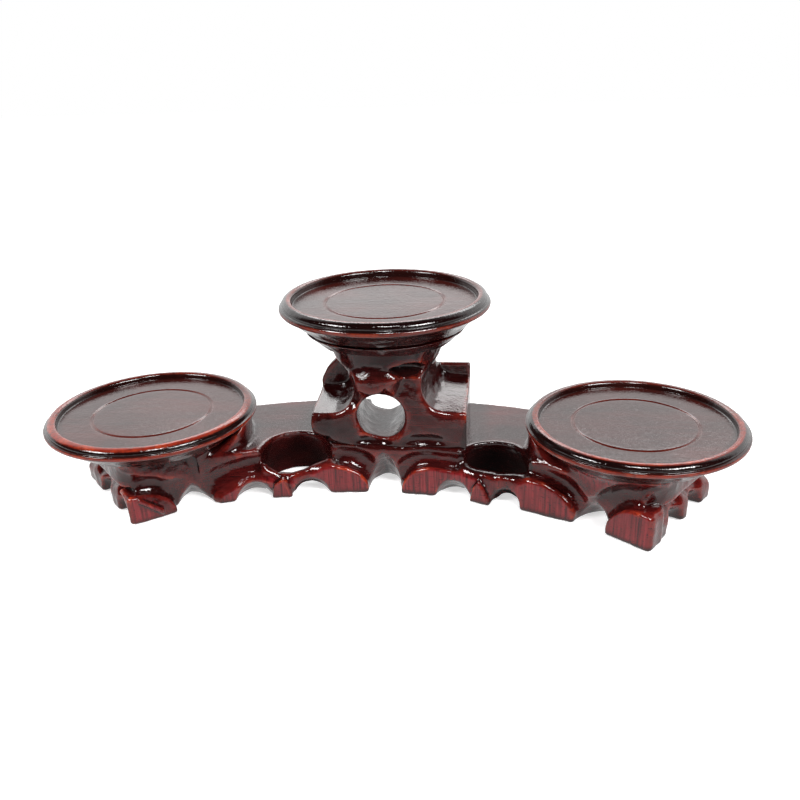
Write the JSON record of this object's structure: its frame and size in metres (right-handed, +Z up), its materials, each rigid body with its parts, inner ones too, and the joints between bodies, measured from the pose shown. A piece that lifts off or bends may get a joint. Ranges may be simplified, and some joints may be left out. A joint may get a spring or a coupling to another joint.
{
  "type": "carved hardwood display stand",
  "caption": "Curved, carved dark hardwood display stand: an arced, scalloped board carries turned round trays at its ends and a raised tray on a pierced pedestal in the middle.",
  "frame": {"origin": "on the supporting surface, under the middle of the whole stand", "axes": "+X along the length, from the left tray to the right tray; -Y towards the hollow front, from which the picture is taken; +Z up"},
  "size_m": [0.334, 0.118, 0.0962],
  "materials": {
    "lacquered_board": "dark red-brown stained hardwood under thick clear gloss lacquer",
    "lacquered_pedestal": "dark red-brown stained hardwood under thick clear gloss lacquer",
    "lacquered_tray": "turned red-brown stained hardwood under clear gloss lacquer",
    "bare_dowel": "bare pale hardwood, glued and out of sight"
  },
  "bodies": {
    "root": {"base_board": "lacquered_board", "pedestal": "lacquered_pedestal", "left_tray": "lacquered_tray", "middle_tray": "lacquered_tray", "right_tray": "lacquered_tray", "left_tray_dowel": "bare_dowel", "middle_tray_dowel": "bare_dowel", "right_tray_dowel": "bare_dowel", "left_pedestal_dowel": "bare_dowel", "right_pedestal_dowel": "bare_dowel"}
  },
  "joints": []
}
